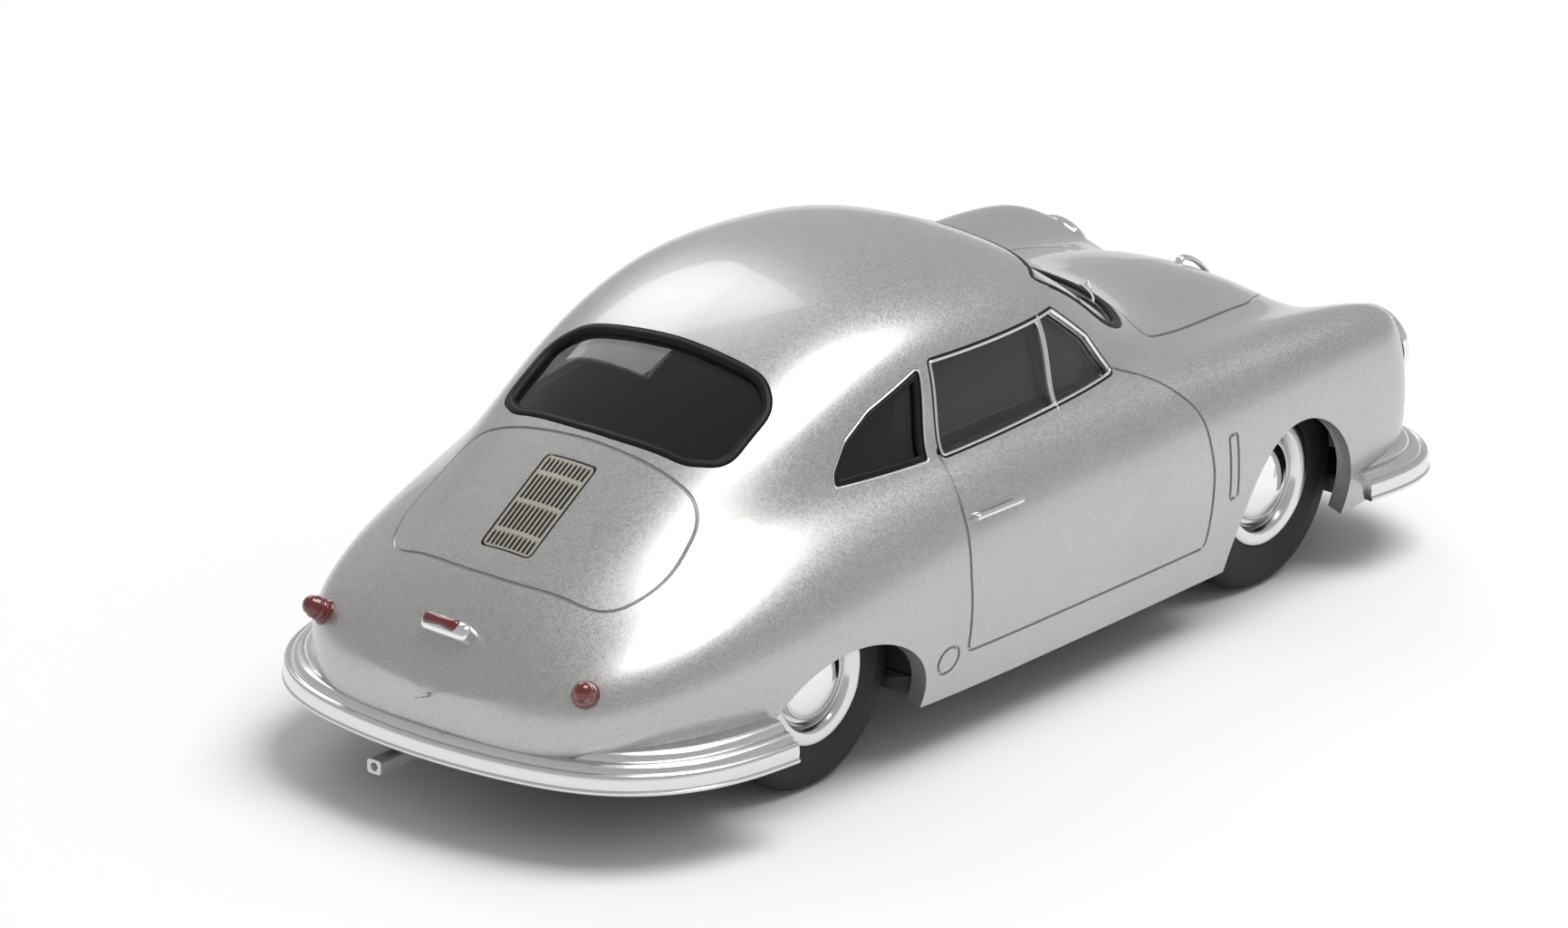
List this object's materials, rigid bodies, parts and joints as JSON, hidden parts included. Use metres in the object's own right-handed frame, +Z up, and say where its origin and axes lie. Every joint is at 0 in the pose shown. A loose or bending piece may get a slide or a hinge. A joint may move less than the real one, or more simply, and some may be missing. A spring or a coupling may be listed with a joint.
{
  "type": "model car",
  "caption": "Small-scale display model of a rounded rear-engined two-door coupe: hollow silver body on a base plate, with glazing, cabin, bumpers and turning wheels.",
  "frame": {"origin": "on the ground, in the middle of the length and width, under the car", "axes": "+X towards the front of the car, +Y to its left side, +Z up"},
  "size_m": [0.0906, 0.04, 0.0305],
  "materials": {
    "silver_paint": "fine metallic silver lacquer, glossy",
    "bright_trim": "polished chrome plate",
    "hubcap_chrome": "mirror polish",
    "wheel_rim": "polished",
    "tyre_rubber": "soft matt rubber",
    "axle_steel": "turned",
    "screw_steel": "turned",
    "window_glass": "clear",
    "lamp_glass": "clear",
    "seal_rubber": "satin",
    "chassis_plastic": "moulded satin",
    "red_lens": "clear deep red",
    "amber_lens": "clear amber",
    "exhaust_metal": "satin",
    "grille_dark": "flat black",
    "grille_nickel": "etched nickel",
    "cabin_plastic": "moulded",
    "seat_plastic": "moulded",
    "control_plastic": "moulded"
  },
  "bodies": {
    "root": {"base_plate": "chassis_plastic", "body_screws": "screw_steel", "body_shell": "silver_paint", "bonnet_handle": "bright_trim", "brake_lamp_housing": "bright_trim", "brake_lamp_lens": "red_lens", "bumper_front": "bright_trim", "bumper_rear": "bright_trim", "dashboard": "cabin_plastic", "door_glass_left": "window_glass", "door_glass_right": "window_glass", "door_handle_left": "bright_trim", "door_handle_right": "bright_trim", "door_window_frame_left": "bright_trim", "door_window_frame_right": "bright_trim", "engine_grille": "grille_nickel", "exhaust_pipe": "exhaust_metal", "gear_lever": "control_plastic", "grille_backing": "grille_dark", "headlamp_glass_left": "lamp_glass", "headlamp_glass_right": "lamp_glass", "headlamp_ring_left": "bright_trim", "headlamp_ring_right": "bright_trim", "indicator_left": "amber_lens", "indicator_right": "amber_lens", "interior_tub": "cabin_plastic", "quarter_glass_left": "window_glass", "quarter_glass_right": "window_glass", "quarter_window_frame_left": "bright_trim", "quarter_window_frame_right": "bright_trim", "rear_bench": "seat_plastic", "rear_view_mirror": "bright_trim", "rear_window_glass": "window_glass", "rear_window_seal": "seal_rubber", "seat_left": "seat_plastic", "seat_right": "seat_plastic", "steering_wheel": "control_plastic", "tail_lamp_left": "red_lens", "tail_lamp_right": "red_lens", "vent_glass_left": "window_glass", "vent_glass_right": "window_glass", "windscreen_glass": "window_glass", "windscreen_seal": "seal_rubber", "wipers": "bright_trim"},
    "front_wheels": {"axle_front": "axle_steel", "rim_front_left": "wheel_rim", "rim_front_right": "wheel_rim", "tyre_front_left": "tyre_rubber", "tyre_front_right": "tyre_rubber", "hubcap_front_left": "hubcap_chrome", "hubcap_front_right": "hubcap_chrome"},
    "rear_wheels": {"axle_rear": "axle_steel", "rim_rear_left": "wheel_rim", "rim_rear_right": "wheel_rim", "tyre_rear_left": "tyre_rubber", "tyre_rear_right": "tyre_rubber", "hubcap_rear_left": "hubcap_chrome", "hubcap_rear_right": "hubcap_chrome"}
  },
  "joints": [
    {"name": "front_axle_spin", "type": "hinge", "parent": "root", "child": "front_wheels", "pos_m": [0.0271, 0, 0.0079], "axis": [0, 1, 0], "continuous": true},
    {"name": "rear_axle_spin", "type": "hinge", "parent": "root", "child": "rear_wheels", "pos_m": [-0.02174, 0, 0.0079], "axis": [0, 1, 0], "continuous": true}
  ]
}
